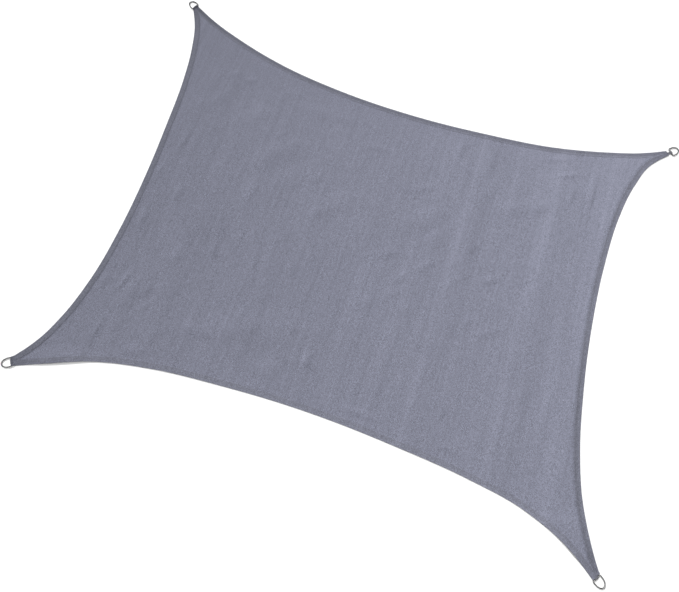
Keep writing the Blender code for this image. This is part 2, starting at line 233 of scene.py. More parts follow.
# Section of the hem: distance in from the edge, top and underside, in millimetres. It has two
# sewn valleys, and a step down where the turned-in cloth ends.
HEM_SECTION = (
    (0.0, 1.9, 1.1),
    (0.8, 2.6, 0.4),
    (2.2, 3.0, 0.05),
    (6.0, 3.15, 0.0),
    (11.0, 3.2, 0.0),
    (17.0, 3.2, 0.0),
    (22.5, 3.2, 0.0),
    (27.5, 3.1, 0.0),
    (29.0, 2.65, 0.0),
    (30.5, 3.05, 0.0),
    (34.0, 3.05, 0.0),
    (35.5, 2.6, 0.0),
    (37.0, 2.95, 0.0),
    (39.0, 2.8, 0.0),
    (40.0, 1.55, 0.0),
    (42.5, 1.5, 0.0),
    (50.0, 1.5, 0.0),
    (60.0, 1.5, 0.0),
)
STITCH_LINES = (0.0290, 0.0355)
STITCH_LINE_STEP = 0.012
STITCH_SHARE = 0.82  # of the pitch, that a stitch takes up
STITCH_RISE = 0.35  # of the thread's radius, above the cloth
STITCH_END_SIZE = 0.7
STITCH_END_DIP = 0.9

# How each hem looks against the panel, where 1 is the panel's own tone: its folded rim, its middle
# band and its sewn line. These are partly the doubled cloth's own darkness and partly painted shade,
# which differs from edge to edge with how the light falls, and is deepest in the sewn valley.
# Toward the corners the cloth is gathered, and all three are painted darker there as shade.
HEM_TONES_AND_SHADE = {
    "front": (1.02, 0.92, 0.93),
    "back": (0.76, 0.70, 0.90),
    "left": (0.76, 0.87, 0.79),
    "right": (0.82, 0.73, 0.64),
}
HEM_RIM_WIDTH = 0.008
HEM_LINE_SOFTNESS = 0.007
GATHERED_SHADE = 0.76
GATHERED_SHARE = 0.12  # of an edge's length, at each end
# Where that line's painted shade is darkest, and how softly the hem's darkness ends inside it.
HEM_LINE_AT = {"front": 0.036, "back": 0.028, "left": 0.041, "right": 0.030}
HEM_LINE_FADE = {"front": 0.012, "back": 0.012, "left": 0.010, "right": 0.027}

# Painted shade at the cloth's cut end at each ring, darker than the cloth's own tone, and how far
# behind the cut it fades out.
CUT_END_SHADE = 0.85
CUT_END_DEPTH = 0.016

# ---- corner stitching ----

STRAP_BOX_START = 0.035  # from the strap's end to the near side of the box that is sewn through it
STRAP_BOX_END = 0.080
STRAP_BOX_MARGIN = 0.004
STRAP_BOX_FROM_CUT = 0.007
STRAP_STITCH_RISE = 0.0002
STRAP_LINE_POINTS = 12

# ---- view ----

CAMERA_PLACE = (0.0880, -0.9297, 2.6438)
CAMERA_AIM = (-0.0648, -0.3839, 0.0)
CAMERA_ROLL = 3.487
CAMERA_LENS = 20.534
KEY_PLACE = (-6.2, 7.4, 7.0)
SKY_STOPS = ((0.0, 0.05), (0.50, 0.14), (0.78, 0.60), (0.95, 3.00))
SEEN_SKY = 1.75  # the sky's grey behind the sail, bright enough to be clipped to white


# ---- outline curves ----


def corner_point(corner):
    side = CORNERS[corner]
    return np.array((side["x"] * SAIL_LENGTH / 2, side["y"] * SAIL_WIDTH / 2))


def corner_heading(corner):
    angle = math.radians(CORNERS[corner]["heading"])
    return np.array((math.cos(angle), math.sin(angle)))


def strap_end(corner):
    return corner_point(corner) + corner_heading(corner) * CORNERS[corner]["reach"]


def strap_angle(corner):
    return math.radians(CORNERS[corner]["heading"] + CORNERS[corner]["turn"])


def strap_end_matrix(corner):
    """Place of a corner's strap: its end on the ground, +X pointing out of the sail."""
    return Matrix.Translation((*strap_end(corner), 0.0)) @ Matrix.Rotation(strap_angle(corner), 4, "Z")


def strap_place(corner, plan):
    """Plan positions as distances behind a strap's end, and across it."""
    direction = np.array((math.cos(strap_angle(corner)), math.sin(strap_angle(corner))))
    behind = (strap_end(corner) - plan) @ direction
    return behind, np.abs((plan - strap_end(corner)) @ np.array((-direction[1], direction[0])))


def cut_end_point(corner, other):
    """End of the cloth's width at a corner, on the side that faces another corner."""
    heading = corner_heading(corner)
    across = np.array((-heading[1], heading[0]))
    if across @ (corner_point(other) - corner_point(corner)) < 0:
        across = -across
    return corner_point(corner) + across * CORNERS[corner]["end_width"] / 2


def hollow_at(edge, share):
    """Depth of an edge's hollow at shares of its chord, on a smooth cubic curve."""
    values = np.array(HOLLOWS[edge])
    gaps = np.diff(SHARES)
    rises = np.diff(values) / gaps
    slopes = np.zeros(len(values))
    slopes[1:-1] = (rises[:-1] * gaps[1:] + rises[1:] * gaps[:-1]) / (gaps[:-1] + gaps[1:])
    slopes[0] = 2 * rises[0] - slopes[1]
    slopes[-1] = 2 * rises[-1] - slopes[-2]
    index = np.clip(np.searchsorted(SHARES, share, side="right") - 1, 0, len(gaps) - 1)
    t = (share - SHARES[index]) / gaps[index]
    start_pull = (t**3 - 2 * t**2 + t) * gaps[index] * slopes[index]
    end_pull = (t**3 - t**2) * gaps[index] * slopes[index + 1]
    return values[index] + (3 * t**2 - 2 * t**3) * np.diff(values)[index] + start_pull + end_pull


class EdgeCurve:
    """An edge's outer line, run on past both cut ends to the corners' tips, with its normals."""

    SAMPLES = 4000
    RUN_ON_SAMPLES = 120

    def __init__(self, edge):
        start, end = EDGE_ENDS[edge]
        first, last = cut_end_point(start, end), cut_end_point(end, start)
        chord = last - first
        inward = np.array((-chord[1], chord[0])) / np.hypot(*chord)
        if inward @ first > 0:
            inward = -inward
        share = np.linspace(0.0, 1.0, self.SAMPLES)
        curve = first + share[:, None] * chord + hollow_at(edge, share)[:, None] * inward
        past = np.linspace(0.0, 1.0, self.RUN_ON_SAMPLES, endpoint=False)[:, None]
        tips = [corner_point(c) + corner_heading(c) * CORNER_TIP for c in (start, end)]
        before = tips[0] + past * (first - tips[0])
        after = (tips[1] + past * (last - tips[1]))[::-1]
        self.points = np.vstack((before, curve, after))
        self.arc = np.concatenate(((0.0,), np.cumsum(np.hypot(*np.diff(self.points, axis=0).T))))
        tangent = np.gradient(self.points, self.arc, axis=0)
        tangent /= np.hypot(*tangent.T)[:, None]
        self.normals = np.stack((-tangent[:, 1], tangent[:, 0]), axis=1)
        if self.normals[self.SAMPLES // 2] @ inward < 0:
            self.normals = -self.normals
        self.length = self.arc[-1]

    def at(self, arc, inset=0.0):
        """Points at these lengths along the edge, on the line that runs inset inside it."""
        line = self.points + self.normals * inset
        return np.stack([np.interp(arc, self.arc, line[:, axis]) for axis in (0, 1)], axis=1)

    def share(self, arc):
        return arc / self.length


EDGES = {edge: EdgeCurve(edge) for edge in EDGE_ENDS}
EDGE_NAMES = tuple(EDGES)


MITRE_SEARCH = 0.45  # length along an edge within which its mitre lies
MITRE_STEPS = 900
MITRE_THINNING = 4  # one in so many of the neighbour's points is enough


def meeting_arc(edge, neighbour, inset, at_start):
    """Length along an edge at which its inset line meets the neighbouring edge's one."""
    if inset == 0.0:
        return 0.0 if at_start else EDGES[edge].length
    arc = np.linspace(0.0, MITRE_SEARCH, MITRE_STEPS)
    if not at_start:
        arc = EDGES[edge].length - arc
    points = EDGES[edge].at(arc, inset)
    across = EDGES[neighbour].points[::MITRE_THINNING]
    nearest = np.hypot(*(points[:, None] - across[None]).transpose(2, 0, 1)).min(axis=1)
    first = int(np.argmax(nearest >= inset))
    share = (inset - nearest[first - 1]) / (nearest[first] - nearest[first - 1])
    return arc[first - 1] + (arc[first] - arc[first - 1]) * share


def inset_line(edge, inset, count):
    """Evenly spaced points of an edge's inset line, from one corner's mitre to the other's."""
    neighbours = ("left", "right") if edge in ("front", "back") else ("front", "back")
    first = meeting_arc(edge, neighbours[0], inset, True)
    last = meeting_arc(edge, neighbours[1], inset, False)
    return EDGES[edge].at(np.linspace(first, last, count), inset)


class EdgeFinder:
    """Nearest edge of a plan position, how far inside it the position is, and where along it."""

    SPACING = 0.001

    def __init__(self):
        points, normals, arcs, owners = [], [], [], []
        for number, curve in enumerate(EDGES.values()):
            arc = np.arange(0.0, curve.length, self.SPACING)
            points.append(curve.at(arc))
            normals.append(
                np.stack([np.interp(arc, curve.arc, curve.normals[:, a]) for a in (0, 1)], axis=1)
            )
            arcs.append(arc)
            owners.append(np.full(len(arc), number))
        self.points, self.normals = np.vstack(points), np.vstack(normals)
        self.arcs, self.owners = np.concatenate(arcs), np.concatenate(owners)
        self.tree = KDTree(len(self.points))
        for index, point in enumerate(self.points):
            self.tree.insert((point[0], point[1], 0.0), index)
        self.tree.balance()

    def find(self, plan):
        index = np.array([self.tree.find((x, y, 0.0))[1] for x, y in plan])
        distance = ((plan - self.points[index]) * self.normals[index]).sum(axis=1)
        return np.maximum(distance, 0.0), self.owners[index], self.arcs[index]


FINDER = EdgeFinder()

# ---- shape of the cloth ----


def ridges(plan, rows):
    """Height of soft oval ridges at plan positions."""
    height = np.zeros(len(plan))
    for x, y, heading, half_length, half_width, top, *bent in rows:
        bend = bent[0] if bent else 0.0
        angle = math.radians(heading)
        offset = plan - (x, y)
        along = (offset[:, 0] * math.cos(angle) + offset[:, 1] * math.sin(angle)) / half_length
        across = offset[:, 1] * math.cos(angle) - offset[:, 0] * math.sin(angle)
        across = (across - bend * along**2) / half_width
        reach = np.minimum(np.hypot(along, across), 1.0)
        height += top * np.cos(reach * math.pi / 2) ** 2
    return height


def smooth_between(shares, values, at):
    """Smooth steps between values at these shares."""
    index = np.clip(np.searchsorted(shares, at, side="right") - 1, 0, len(shares) - 2)
    shares, values = np.array(shares), np.array(values)
    t = np.clip((at - shares[index]) / (shares[index + 1] - shares[index]), 0.0, 1.0)
    return values[index] + (values[index + 1] - values[index]) * t * t * (3 - 2 * t)


def ramp_up(value, start, over):
    """Rises from 0 at the start to 1 once past it by a length."""
    return np.clip((value - start) / over, 0.0, 1.0)


def slope_height(share):
    """Height of a strap's upper leg on its slope, from the bar's top at 0 to its level at 1."""
    top = 2 * FOLD_RADIUS - WEBBING_THICKNESS / 2
    return top + (UPPER_LEG - top) * share**2 * (3 - 2 * share)


def lift_steps():
    """Rise of the cloth over a strap: distances behind the strap's end, and heights."""
    shares = np.linspace(0.0, 1.0, SLOPE_STEPS + 1)
    places = [*(FOLD_RADIUS + FOLD_SLOPE * shares), LIFT_LEVEL_TO, LIFT_GONE_AT]
    return places, [*(slope_height(shares) + WEBBING_THICKNESS / 2 + PIECE_GAP), CORNER_LIFT, 0.0]


def corner_lift(plan):
    """Rise of the cloth over the straps, and how firmly they hold it, up to 1."""
    lift, held = np.zeros(len(plan)), np.zeros(len(plan))
    places, heights = lift_steps()
    for corner in CORNERS:
        behind, across = strap_place(corner, plan)
        start, over = DRAPE_BESIDE
        beside = np.clip((across - CORNERS[corner]["webbing"] / 2 - start) / over, 0.0, 1.0)
        drop = DRAPE * beside**2 * (3 - 2 * beside) * ramp_up(behind, *DRAPE_BEHIND)
        lift += np.interp(behind, places, heights) * (1 - drop)
        held += np.interp(behind, places[-2:], (1.0, 0.0))
    return lift, held


def ground_clearance(plan, distance, owner, arc):
    """Height of the cloth's underside over the ground."""
    lift, held = corner_lift(plan)
    height = ridges(plan, FOLDS)
    height += ridges(plan, CREASES)
    for kx, ky, phase, top in WAVES:
        wave = 0.5 + 0.5 * np.sin(kx * plan[:, 0] + ky * plan[:, 1] + phase)
        height += top * 0.001 * wave * (1 - held)
    curl = np.zeros(len(plan))
    for number, edge in enumerate(EDGE_NAMES):
        mine = owner == number
        curl[mine] = smooth_between(CURL_SHARES, CURLS[edge], EDGES[edge].share(arc[mine]))
    fade = np.clip(1 - distance / CURL_WIDTH, 0.0, 1.0)
    height += curl * 0.001 * fade**2 * (3 - 2 * fade) * (1 - held)
    return height + lift


def hem_section_at(distance, column):
    section = np.array(HEM_SECTION)
    return np.interp(distance, section[:, 0] * 0.001, section[:, column] * 0.001)


def top_at(plan):
    """Height of the cloth's top at plan positions."""
    distance, owner, arc = FINDER.find(plan)
    return ground_clearance(plan, distance, owner, arc) + hem_section_at(distance, 1)


def cut_end_shade_at(plan):
    """Painted shade at the cloth's cut ends at the rings, where 1 is the cloth's own tone."""
    tone = np.ones(len(plan))
    for corner, row in CORNERS.items():
        inside = strap_place(corner, plan)[0] - row["cut_back"]
        near = np.clip(1 - inside / CUT_END_DEPTH, 0.0, 1.0)
        tone *= 1 + (CUT_END_SHADE - 1) * near
    return tone


def hem_tone_and_shade_at(distance, owner, arc):
    """Tone of the cloth near its edges, partly painted shade, where 1 is the panel's own."""
    tone = np.ones(len(arc))
    for number, edge in enumerate(EDGE_NAMES):
        mine = owner == number
        share, inside = EDGES[edge].share(arc[mine]), distance[mine]
        from_end = np.clip(np.minimum(share, 1 - share) / GATHERED_SHARE, 0.0, 1.0)
        gathered = GATHERED_SHADE + (1 - GATHERED_SHADE) * from_end
        # rim, band and sewn line carry painted shade, made deeper toward the corners
        rim, band, line = (value * gathered for value in HEM_TONES_AND_SHADE[edge])
        at, fade = HEM_LINE_AT[edge], HEM_LINE_FADE[edge]
        soft = HEM_LINE_SOFTNESS
        ends = (HEM_RIM_WIDTH, 2 * HEM_RIM_WIDTH, at - soft, at, at + fade)
        tone[mine] = np.select(
            [inside < end for end in ends],
            [
                rim,
                rim + (band - rim) * (inside - HEM_RIM_WIDTH) / HEM_RIM_WIDTH,
                band,
                band + (line - band) * (inside - at + soft) / soft,
                line + (1 - line) * (inside - at) / fade,
            ],
            1.0,
        )
    return tone


def cloth_plan(columns, rows):
    """Plan positions of the cloth's grid: rings at the hem section's steps, and a blended panel."""
    plan = np.zeros((columns + 1, rows + 1, 2))
    depth = len(HEM_SECTION)
    for ring in range(depth):
        inset = HEM_SECTION[ring][0] * 0.001
        wide, high = columns - 2 * ring + 1, rows - 2 * ring + 1
        plan[ring : columns + 1 - ring, ring] = inset_line("front", inset, wide)
        plan[ring : columns + 1 - ring, rows - ring] = inset_line("back", inset, wide)
        plan[ring, ring : rows + 1 - ring] = inset_line("left", inset, high)
        plan[columns - ring, ring : rows + 1 - ring] = inset_line("right", inset, high)
    inner = plan[depth - 1 : columns + 2 - depth, depth - 1 : rows + 2 - depth]
    u = np.linspace(0.0, 1.0, inner.shape[0])[:, None, None]
    v = np.linspace(0.0, 1.0, inner.shape[1])[None, :, None]
    front, back = inner[:, :1].copy(), inner[:, -1:].copy()
    left, right = inner[:1].copy(), inner[-1:].copy()
    front_ends = front[:1] * (1 - u) + front[-1:] * u
    back_ends = back[:1] * (1 - u) + back[-1:] * u
    blended = front * (1 - v) + back * v + left * (1 - u) + right * u
    inner[:] = blended - front_ends * (1 - v) - back_ends * v
    return plan


# ---- mesh helpers ----


def linked(name, data):
    obj = bpy.data.objects.new(name, data)
    bpy.context.scene.collection.objects.link(obj)
    return obj


def new_piece(name, mesh, look, replaced=()):
    """Links a mesh as a finished piece that rides on the sail's one body."""
    piece = linked(name, mesh)
    mesh.materials.append(look)
    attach(piece, "root")
    if replaced:
        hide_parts(*replaced)
    return piece


def bmesh_to_mesh(name, bm, smooth_below=40.0):
    """Writes a bmesh out, with its faces smooth but for edges sharper than an angle."""
    for face in bm.faces:
        face.smooth = True
    limit = math.radians(smooth_below)
    for edge in bm.edges:
        edge.smooth = len(edge.link_faces) != 2 or edge.calc_face_angle(0.0) < limit
    mesh = bpy.data.meshes.new(name)
    bm.to_mesh(mesh)
    bm.free()
    return mesh


def evaluated_mesh(name, obj):
    """Mesh of an object with its modifiers or its curve's bevel applied; the object is removed."""
    bpy.context.view_layer.update()
    evaluated = obj.evaluated_get(bpy.context.evaluated_depsgraph_get())
    made = bpy.data.meshes.new_from_object(evaluated)
    made.name = name
    bpy.data.objects.remove(obj)
    return made


def point_values(mesh, name, values):
    attribute = mesh.attributes.new(name, "FLOAT", "POINT")
    attribute.data.foreach_set("value", np.asarray(values, np.float32))


def line_curve(name, points, closed=False):
    """A curve through points in space, linked so that it can be evaluated or followed."""
    curve = bpy.data.curves.new(name, "CURVE")
    curve.dimensions = "3D"
    spline = curve.splines.new("POLY")
    spline.points.add(len(points) - 1)
    spline.use_cyclic_u = closed
    for point, place in zip(spline.points, points):
        point.co = (*place, 1.0)
    return linked(name, curve)


def stitch_mesh(length, radius):
    """One stitch along +X: a short five-sided thread whose two ends dip into the cloth."""
    bm = bmesh.new()
    bmesh.ops.create_cone(
        bm, cap_ends=True, segments=5, radius1=radius, radius2=radius, depth=length
    )
    sides = [edge for edge in bm.edges if abs(edge.verts[0].co.z - edge.verts[1].co.z) > length / 2]
    bmesh.ops.subdivide_edges(bm, edges=sides, cuts=1)
    bmesh.ops.rotate(bm, verts=bm.verts, matrix=Matrix.Rotation(math.pi / 2, 3, "Y"))
    for vert in bm.verts:
        if abs(vert.co.x) > length / 4:
            vert.co.y *= STITCH_END_SIZE
            vert.co.z = vert.co.z * STITCH_END_SIZE - radius * STITCH_END_DIP
    bmesh.ops.translate(bm, verts=bm.verts, vec=(length / 2, 0.0, 0.0))
    bmesh.ops.recalc_face_normals(bm, faces=bm.faces[:])
    return bmesh_to_mesh("stitch", bm, 80.0)


def stitched_line(name, points, pitch, radius):
    """Mesh of a row of stitches along points in space."""
    length = float(np.sqrt((np.diff(points, axis=0) ** 2).sum(axis=1)).sum())
    path = line_curve(name + "_path", points)
    path.data.twist_mode = "Z_UP"
    obj = linked(name, stitch_mesh(pitch * STITCH_SHARE, radius))
    row = obj.modifiers.new("row", "ARRAY")
    row.use_relative_offset = False
    row.use_constant_offset = True
    row.constant_offset_displace = (pitch, 0.0, 0.0)
    row.count = max(int(length / pitch), 1)
    follow = obj.modifiers.new("follow", "CURVE")
    follow.object = path
    follow.deform_axis = "POS_X"
    mesh = evaluated_mesh(name, obj)
    bpy.data.objects.remove(path)
    return mesh


def joined(name, meshes):
    bm = bmesh.new()
    for mesh in meshes:
        bm.from_mesh(mesh)
        bpy.data.meshes.remove(mesh)
    made = bpy.data.meshes.new(name)
    bm.to_mesh(made)
    bm.free()
    return made


# ---- pieces ----


def build_cloth(sizes):
    """The knitted panel and its hem, one closed thin mesh."""
    columns = sizes.long_cells + 2 * (len(HEM_SECTION) - 1)
    rows = sizes.short_cells + 2 * (len(HEM_SECTION) - 1)
    plan = cloth_plan(columns, rows)
    bm = bmesh.new()
    bmesh.ops.create_grid(bm, x_segments=columns, y_segments=rows, size=0.5)
    for vert in bm.verts:
        column, row = round((vert.co.x + 0.5) * columns), round((vert.co.y + 0.5) * rows)
        vert.co = (*plan[column, row], 0.0)
    for corner, row in CORNERS.items():
        matrix = strap_end_matrix(corner)
        cut_back = row["cut_back"]
        lines = [place for place in lift_steps()[0] if place > cut_back + 0.001]
        for place in lines[::-1] + [cut_back]:
            bmesh.ops.bisect_plane(
                bm,
                geom=bm.verts[:] + bm.edges[:] + bm.faces[:],
                dist=1e-6,
                plane_co=matrix @ Vector((-place, 0.0, 0.0)),
                plane_no=matrix.to_3x3() @ Vector((1.0, 0.0, 0.0)),
                clear_outer=bool(place == cut_back),
            )
    swept = bmesh.ops.extrude_face_region(bm, geom=bm.faces[:])["geom"]
    below = {item for item in swept if isinstance(item, bmesh.types.BMVert)}
    plan = np.array([vert.co.to_2d() for vert in bm.verts])
    distance, owner, arc = FINDER.find(plan)
    ground = ground_clearance(plan, distance, owner, arc)
    tops, undersides = hem_section_at(distance, 1), hem_section_at(distance, 2)
    for index, vert in enumerate(bm.verts):
        vert.co.z = ground[index] + (undersides[index] if vert in below else tops[index])
    bmesh.ops.recalc_face_normals(bm, faces=bm.faces[:])
    mesh = bmesh_to_mesh("sail_knit", bm, 70.0)
    point_values(mesh, "edge_distance", distance)
    lengths = np.array([curve.length for curve in EDGES.values()])[owner]
    point_values(mesh, "edge_run", np.minimum(arc, lengths - arc))
    # the hem's tones with their painted shade, times the painted shade at the cut ends
    point_values(mesh, "edge_tone_and_shade", hem_tone_and_shade_at(distance, owner, arc) * cut_end_shade_at(plan))
    return mesh


def build_hem_stitching(sizes):
    """Two rows of stitches round the hem, one mesh."""
    meshes = []
    for edge in EDGE_NAMES:
        for number, inset in enumerate(STITCH_LINES):
            plan = inset_line(edge, inset, int(EDGES[edge].length / STITCH_LINE_STEP))
            line = np.column_stack((plan, top_at(plan) + sizes.thread_radius * STITCH_RISE))
            name = f"{edge}_{number}"
            meshes.append(stitched_line(name, line, sizes.stitch_pitch, sizes.thread_radius))
    return joined("hem_stitching", meshes)


LOWER_LEG_RUN = 0.078  # flat run of the lower leg, from its end to just before the bend
LOWER_LEG_STEPS, BEND_STEPS, UPPER_LEG_STEPS = 13, 18, 12
STRAP_CELLS = 12  # across a strap


def strap_side_view():
    """Side view of the strap's middle: lower leg, fold round the bar, upper leg. (out, up)."""
    radius = FOLD_RADIUS - WEBBING_THICKNESS / 2
    shares = np.linspace(0, 1, LOWER_LEG_STEPS + 1)
    points = [(-LEG_LENGTH + LOWER_LEG_RUN * share, WEBBING_THICKNESS / 2) for share in shares]
    for angle in np.radians(np.linspace(-90.0, 90.0, BEND_STEPS + 1)):
        out, up = radius * math.cos(angle), radius * math.sin(angle)
        points.append((-FOLD_RADIUS + out, FOLD_RADIUS + up))
    for share in np.linspace(0.0, 1.0, SLOPE_STEPS + 1)[1:]:
        points.append((-FOLD_RADIUS - FOLD_SLOPE * share, slope_height(share)))
    leg = LEG_LENGTH - FOLD_RADIUS - FOLD_SLOPE
    for share in np.linspace(0.0, 1.0, UPPER_LEG_STEPS + 1)[1:]:
        points.append((leg - LEG_LENGTH - leg * share, UPPER_LEG))
    return np.array(points)


def build_webbing(corner):
    """A strap folded round its ring's bar: a line of points swept along the fold, then thickened."""
    width = CORNERS[corner]["webbing"]
    line = strap_side_view()
    bm = bmesh.new()
    along_layer = bm.verts.layers.float.new("strap_along")
    across_layer = bm.verts.layers.float.new("strap_across")
    selvedge_layer = bm.verts.layers.float.new("strap_selvedge")
    first = bm.verts.new((line[0][0], -width / 2, line[0][1]))
    row = bmesh.ops.extrude_vert_indiv(bm, verts=[first])
    row["verts"][0].co.y = width / 2
    bmesh.ops.subdivide_edges(bm, edges=row["edges"], cuts=STRAP_CELLS - 1)
    edges = bm.edges[:]
    for vert in bm.verts:
        vert[across_layer] = vert.co.y
        vert[selvedge_layer] = width / 2 - abs(vert.co.y)
    travelled = 0.0
    for before, after in zip(line, line[1:]):
        swept = bmesh.ops.extrude_edge_only(bm, edges=edges)["geom"]
        verts = [item for item in swept if isinstance(item, bmesh.types.BMVert)]
        edges = [item for item in swept if isinstance(item, bmesh.types.BMEdge)]
        step = after - before
        travelled += float(np.hypot(*step))
        bmesh.ops.translate(bm, verts=verts, vec=(step[0], 0.0, step[1]))
        for vert in verts:
            vert[along_layer] = travelled
    # a strip's faces may all point either way: they are turned to face out of the fold
    bmesh.ops.recalc_face_normals(bm, faces=bm.faces[:])
    centre = Vector((-FOLD_RADIUS, 0.0, FOLD_RADIUS))
    outermost = max(bm.faces, key=lambda face: face.calc_center_median().x)
    if outermost.normal.dot(outermost.calc_center_median() - centre) < 0:
        bmesh.ops.reverse_faces(bm, faces=bm.faces[:])
    for vert in bm.verts:
        vert.co -= vert.normal * (WEBBING_THICKNESS / 2)
    bmesh.ops.solidify(bm, geom=bm.faces[:], thickness=-WEBBING_THICKNESS)
    bmesh.ops.recalc_face_normals(bm, faces=bm.faces[:])
    mesh = bmesh_to_mesh("webbing_" + corner, bm, 50.0)
    mesh.transform(strap_end_matrix(corner))
    return mesh


def strap_stitch_lines(corner):
    """The box with its cross that is sewn through cloth and strap, as lines in space."""
    sizes = CORNERS[corner]
    near, far = -max(STRAP_BOX_START, sizes["cut_back"] + STRAP_BOX_FROM_CUT), -STRAP_BOX_END
    half = sizes["webbing"] / 2 - STRAP_BOX_MARGIN
    place = strap_end_matrix(corner)
    corners = ((near, -half), (far, -half), (far, half), (near, half))
    strokes = [(corners[i], corners[(i + 1) % 4]) for i in range(4)]
    strokes += [(corners[0], corners[2]), (corners[1], corners[3])]
    lines = []
    for start, end in strokes:
        steps = np.linspace(0.0, 1.0, STRAP_LINE_POINTS)[:, None]
        flat = np.array(start) + steps * (np.array(end) - np.array(start))
        plan = np.array([(place @ Vector((x, y, 0.0)))[:2] for x, y in flat])
        lines.append(np.column_stack((plan, top_at(plan) + STRAP_STITCH_RISE)))
    return lines


def build_strap_stitching(sizes):
    meshes = []
    for corner in CORNERS:
        for number, line in enumerate(strap_stitch_lines(corner)):
            name = f"{corner}_{number}"
            meshes.append(stitched_line(name, line, sizes.strap_stitch_pitch, sizes.thread_radius))
    return joined("strap_stitching", meshes)


RING_BAR_STEPS, RING_CORNER_STEPS, RING_BOW_STEPS = 9, 9, 33


def ring_path():
    """The ring's wire centre line in its own plane: a straight bar, two sides and a bow."""
    half_width = RING_INNER_WIDTH / 2 + WIRE_RADIUS
    length = RING_OUTER_LENGTH - 2 * WIRE_RADIUS
    bar_end = half_width - RING_CORNER_RADIUS
    half = [(0.0, bar_end * share) for share in np.linspace(0.0, 1.0, RING_BAR_STEPS + 1)[:-1]]
    for angle in np.linspace(0.0, math.pi / 2, RING_CORNER_STEPS + 1):
        out = RING_CORNER_RADIUS * (1 - math.cos(angle))
        half.append((out, bar_end + RING_CORNER_RADIUS * math.sin(angle)))
    bow_start = RING_CORNER_RADIUS + RING_SIDE
    half += [(RING_CORNER_RADIUS + RING_SIDE * s, half_width) for s in (0.25, 0.5, 0.75)]
    for angle in np.linspace(0.0, math.pi / 2, RING_BOW_STEPS + 1):
        out = bow_start + (length - bow_start) * math.sin(angle)
        half.append((out, half_width * math.cos(angle)))
    return half + [(out, -across) for out, across in half[-2:0:-1]]


def build_ring(corner):
    """A D-ring bent from round wire, its bar in the strap's fold and its bow on the ground."""
    name = "ring_" + corner
    wire = line_curve(name, [(out, across, 0.0) for out, across in ring_path()], closed=True)
    wire.data.bevel_depth = WIRE_RADIUS
    wire.data.bevel_resolution = 6
    mesh = evaluated_mesh(name, wire)
    lean = math.asin((FOLD_RADIUS - WIRE_RADIUS) / (RING_OUTER_LENGTH - 2 * WIRE_RADIUS))
    bar = Matrix.Translation((-FOLD_RADIUS, 0.0, FOLD_RADIUS)) @ Matrix.Rotation(lean, 4, "Y")
    mesh.transform(strap_end_matrix(corner) @ bar)
    mesh.shade_smooth()
    return mesh


# ---- materials ----


def rgba(colour):
    return (*colour, 1.0)


def fill_ramp(ramp, stops):
    """Gives a colour ramp its (position, grey) stops."""
    for number, (position, grey) in enumerate(stops):
        element = ramp.elements[number] if number < 2 else ramp.elements.new(position)
        element.position = position
        element.color = (grey, grey, grey, 1.0)


class Look:
    """A material's node tree, with short calls that add nodes and join their sockets."""

    def __init__(self, name):
        self.material = bpy.data.materials.new(name)
        self.material.use_nodes = True
        self.tree = self.material.node_tree
        self.shader = self.tree.nodes["Principled BSDF"]

    def set(self, socket, value):
        """Gives a socket a constant, or another node's output."""
        if isinstance(value, bpy.types.NodeSocket):
            self.tree.links.new(value, socket)
        elif value is not None:
            socket.default_value = value

    def add(self, kind, inputs=None, **settings):
        node = self.tree.nodes.new(kind)
        for key, value in settings.items():
            setattr(node, key, value)
        for key, value in (inputs or {}).items():
            self.set(node.inputs[key], value)
        return node

    def math(self, operation, first, second=None, third=None):
        node = self.add("ShaderNodeMath", operation=operation)
        for socket, value in zip(node.inputs, (first, second, third)):
            self.set(socket, value)
        return node.outputs[0]

    def object_axes(self):
        place = self.add("ShaderNodeTexCoord").outputs["Object"]
        return place, self.add("ShaderNodeSeparateXYZ", {"Vector": place}).outputs

    def attribute(self, name):
        return self.add("ShaderNodeAttribute", attribute_name=name).outputs["Fac"]

    def fit(self, value, gain, offset):
        """A value times a gain, plus an offset."""
        return self.math("MULTIPLY_ADD", value, gain, offset)

    def wave(self, value, length):
        """A sine wave from -1 to 1, with one period each length."""
        return self.math("SINE", self.math("MULTIPLY", value, 2 * math.pi / length))

    def noise(self, place, scale, detail=2.0, roughness=0.5, stretch=None):
        """Noise from 0 to 1 around 0.5. Stretch multiplies the place's Y."""
        if stretch:
            scales = {"Vector": place, "Scale": (1.0, stretch, 1.0)}
            place = self.add("ShaderNodeMapping", scales).outputs[0]
        inputs = {"Vector": place, "Scale": scale, "Detail": detail, "Roughness": roughness}
        return self.add("ShaderNodeTexNoise", inputs).outputs["Fac"]

    def around_one(self, value, reach):
        """A value from 0 to 1 turned into a factor from 1 - reach to 1 + reach."""
        return self.fit(value, 2 * reach, 1 - reach)

    def product(self, first, *others):
        for other in others:
            first = self.math("MULTIPLY", first, other)
        return first

    def ramp(self, value, stops, interpolation="LINEAR"):
        """A grey colour ramp through (position, value) stops."""
        node = self.add("ShaderNodeValToRGB", {"Fac": value})
        node.color_ramp.interpolation = interpolation
        fill_ramp(node.color_ramp, stops)
        return node.outputs["Color"]

    def mix(self, factor, first, second):
        node = self.add("ShaderNodeMix", data_type="RGBA")
        self.set(node.inputs["Factor"], factor)
        self.set(node.inputs[6], first)
        self.set(node.inputs[7], second)
        return node.outputs[2]

    def scaled(self, colour, factor):
        """A colour multiplied by a number."""
        inputs = {0: colour, "Scale": factor}
        return self.add("ShaderNodeVectorMath", inputs, operation="SCALE").outputs[0]

    def bump(self, height, distance, strength, normal=None):
        inputs = {"Height": height, "Distance": distance, "Strength": strength, "Normal": normal}
        return self.add("ShaderNodeBump", inputs).outputs[0]

    def shade(self, **values):
        for name, value in values.items():
            self.set(self.shader.inputs[name.replace("_", " ")], value)


WALE_PITCH = 0.0030
WALE_WANDER = 1.3  # in wales
COURSE_PITCH = 0.0036
LOOP_CONTRAST = 0.75  # how much one loop's tone differs from the next
